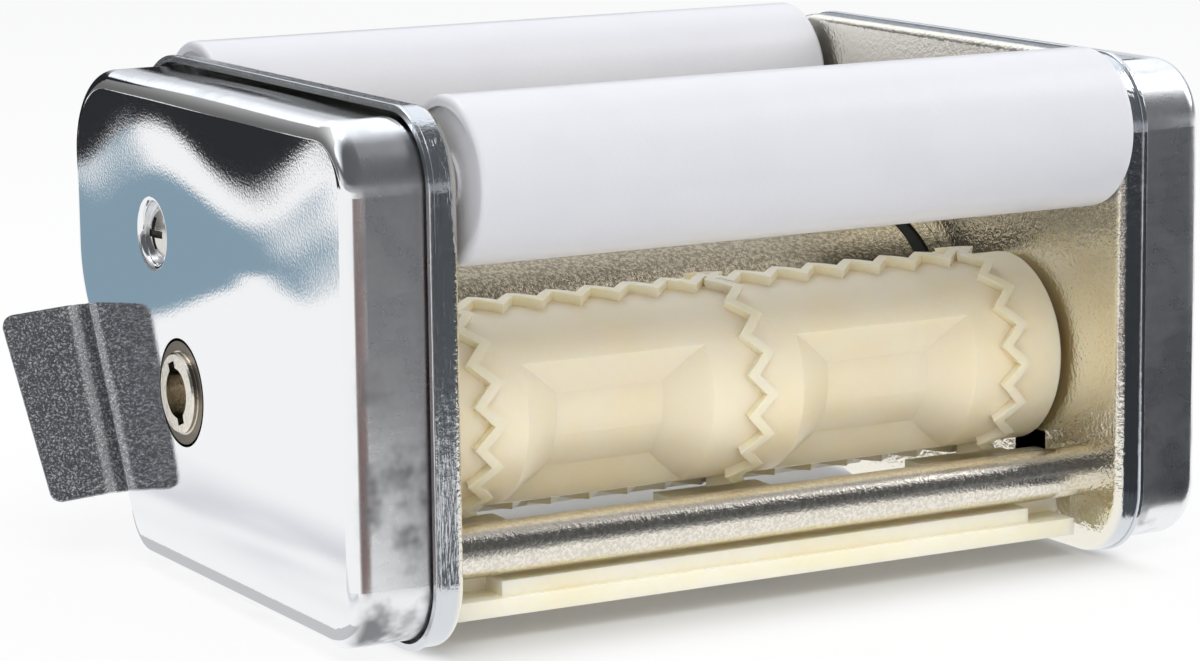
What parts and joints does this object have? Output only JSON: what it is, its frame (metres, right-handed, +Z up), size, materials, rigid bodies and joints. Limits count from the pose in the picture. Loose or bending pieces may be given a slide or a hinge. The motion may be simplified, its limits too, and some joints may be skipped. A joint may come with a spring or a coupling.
{
  "type": "ravioli maker attachment",
  "caption": "Hand-turned ravioli maker: pocketed moulding rollers geared together below plain feed rollers, between pressed steel sides with deep covers and hook plates.",
  "frame": {"origin": "below the middle of the whole part, on the surface that it stands on", "axes": "+X along the rollers, from the drive socket's end to the other; +Y from the front to the back, where the hook plates are; +Z up"},
  "size_m": [0.2314, 0.1504, 0.1077],
  "materials": {
    "plated_tray": "bright plated, slightly pebbled",
    "polished_cover": "polished face, satin side walls",
    "plated_hardware": "bright plated",
    "steel": "turned, plain",
    "cream_plastic": "moulded, soft gloss",
    "white_plastic": "moulded, soft gloss",
    "acetal": "natural, self-oiling",
    "felt": "black felt strip"
  },
  "bodies": {
    "frame": {"left_side_tray": "plated_tray", "left_end_cover": "polished_cover", "left_cover_post": "steel", "left_cover_screw": "plated_hardware", "left_hook_plate": "plated_hardware", "left_hook_rivets": "steel", "right_side_tray": "plated_tray", "right_end_cover": "polished_cover", "right_cover_post": "steel", "right_cover_screw": "plated_hardware", "right_hook_plate": "plated_hardware", "right_hook_rivets": "steel", "front_shaft_bushes": "acetal", "front_feed_axle": "steel", "front_tie_sleeve": "plated_hardware", "front_tie_spacer": "plated_hardware", "front_tie_stud": "steel", "front_tie_nuts": "steel", "front_strip_comb": "cream_plastic", "back_shaft_bushes": "acetal", "back_feed_axle": "steel", "back_tie_sleeve": "plated_hardware", "back_tie_spacer": "plated_hardware", "back_tie_stud": "steel", "back_tie_nuts": "steel", "back_strip_comb": "cream_plastic", "dough_guide": "plated_tray", "guide_felts": "felt"},
    "front_roller": {"front_ravioli_roller": "cream_plastic", "front_roller_shaft": "steel", "front_shaft_ring": "steel", "front_gear": "acetal", "front_gear_ring": "steel"},
    "back_roller": {"back_ravioli_roller": "cream_plastic", "back_roller_shaft": "steel", "back_shaft_ring": "steel", "back_gear": "acetal", "drive_socket": "plated_hardware"},
    "front_feed": {"front_feed_roller": "white_plastic", "front_feed_plugs": "white_plastic"},
    "back_feed": {"back_feed_roller": "white_plastic", "back_feed_plugs": "white_plastic"}
  },
  "joints": [
    {"name": "back_roller_turn", "type": "hinge", "parent": "frame", "child": "back_roller", "pos_m": [0, 0.01385, 0.0413], "axis": [1, 0, 0], "continuous": true},
    {"name": "front_roller_turn", "type": "hinge", "parent": "frame", "child": "front_roller", "pos_m": [0, -0.03045, 0.0413], "axis": [1, 0, 0], "continuous": true},
    {"name": "front_feed_turn", "type": "hinge", "parent": "frame", "child": "front_feed", "pos_m": [0, -0.05875, 0.0913], "axis": [1, 0, 0], "continuous": true},
    {"name": "back_feed_turn", "type": "hinge", "parent": "frame", "child": "back_feed", "pos_m": [0, 0.05875, 0.0913], "axis": [1, 0, 0], "continuous": true}
  ],
  "couplings": [
    {"joint": "front_roller_turn", "follows": "back_roller_turn", "ratio": -1}
  ]
}
